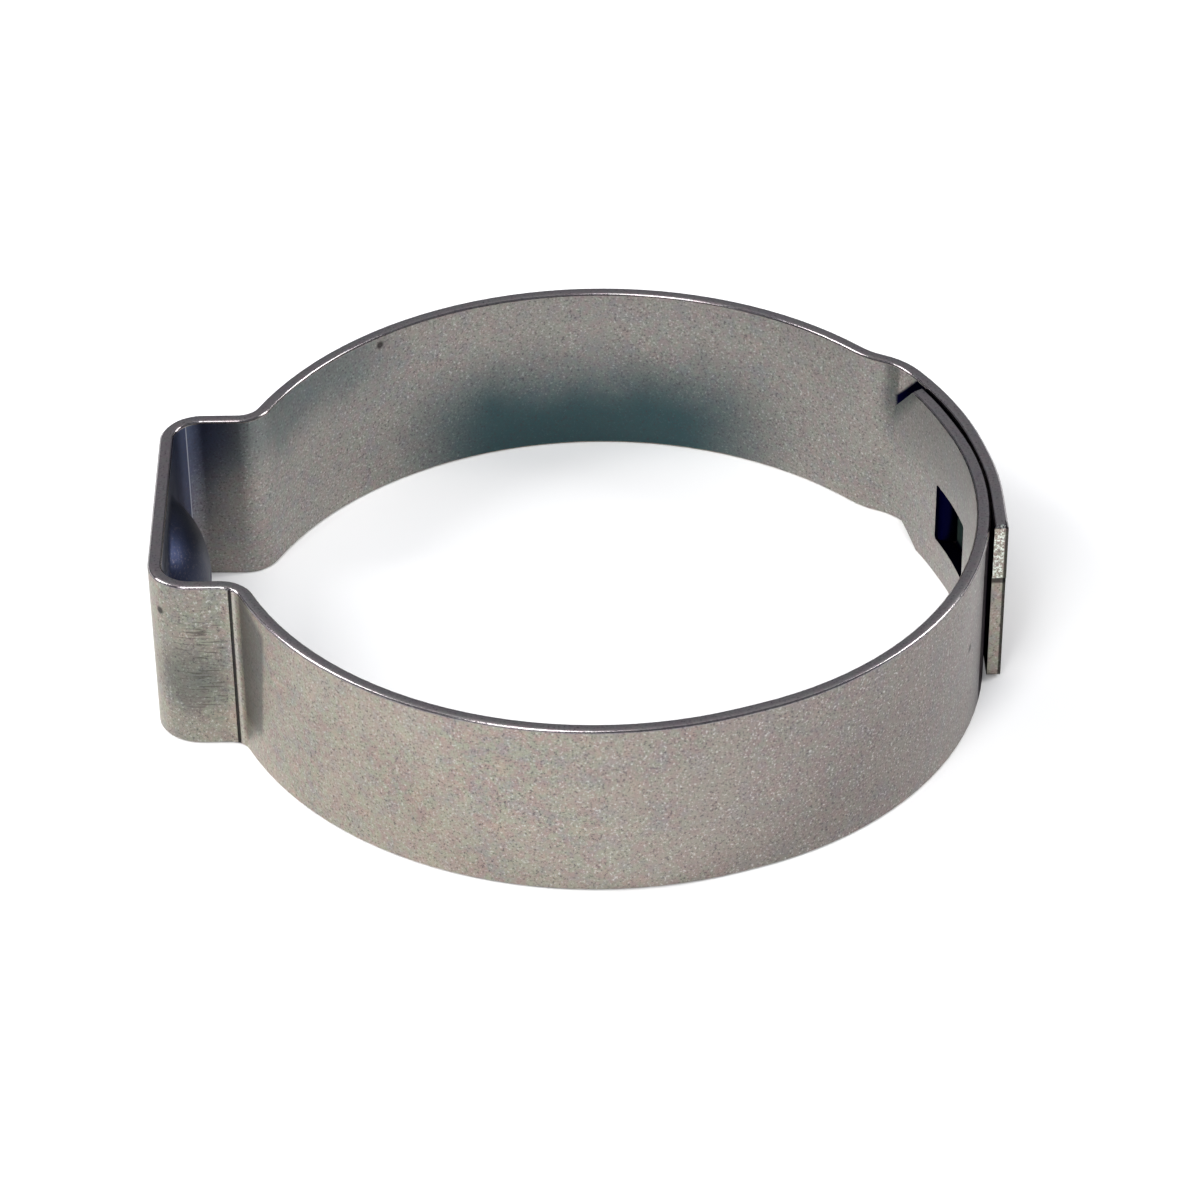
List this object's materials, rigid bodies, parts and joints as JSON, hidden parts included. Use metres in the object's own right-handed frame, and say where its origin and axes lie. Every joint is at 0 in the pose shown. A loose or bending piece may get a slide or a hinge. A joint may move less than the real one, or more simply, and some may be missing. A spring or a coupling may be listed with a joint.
{
  "type": "ear hose clamp",
  "caption": "Open ear hose clamp: a flat strip ring with a pinch ear on one side and a hooked overlap joint on the other.",
  "frame": {"origin": "where the axis of the clamp's bore meets the plane of the band's lower edge", "axes": "+Z along the bore's axis, from the edge it rests on to the upper edge; -X towards the ear, +X towards the overlap joint"},
  "size_m": [0.031, 0.028, 0.007],
  "materials": {
    "stainless_strip": "rolled stainless strip, satin, with a soft sheen, deburred edges and light handling marks"
  },
  "bodies": {
    "root": {"clamp_band": "stainless_strip"}
  },
  "joints": []
}
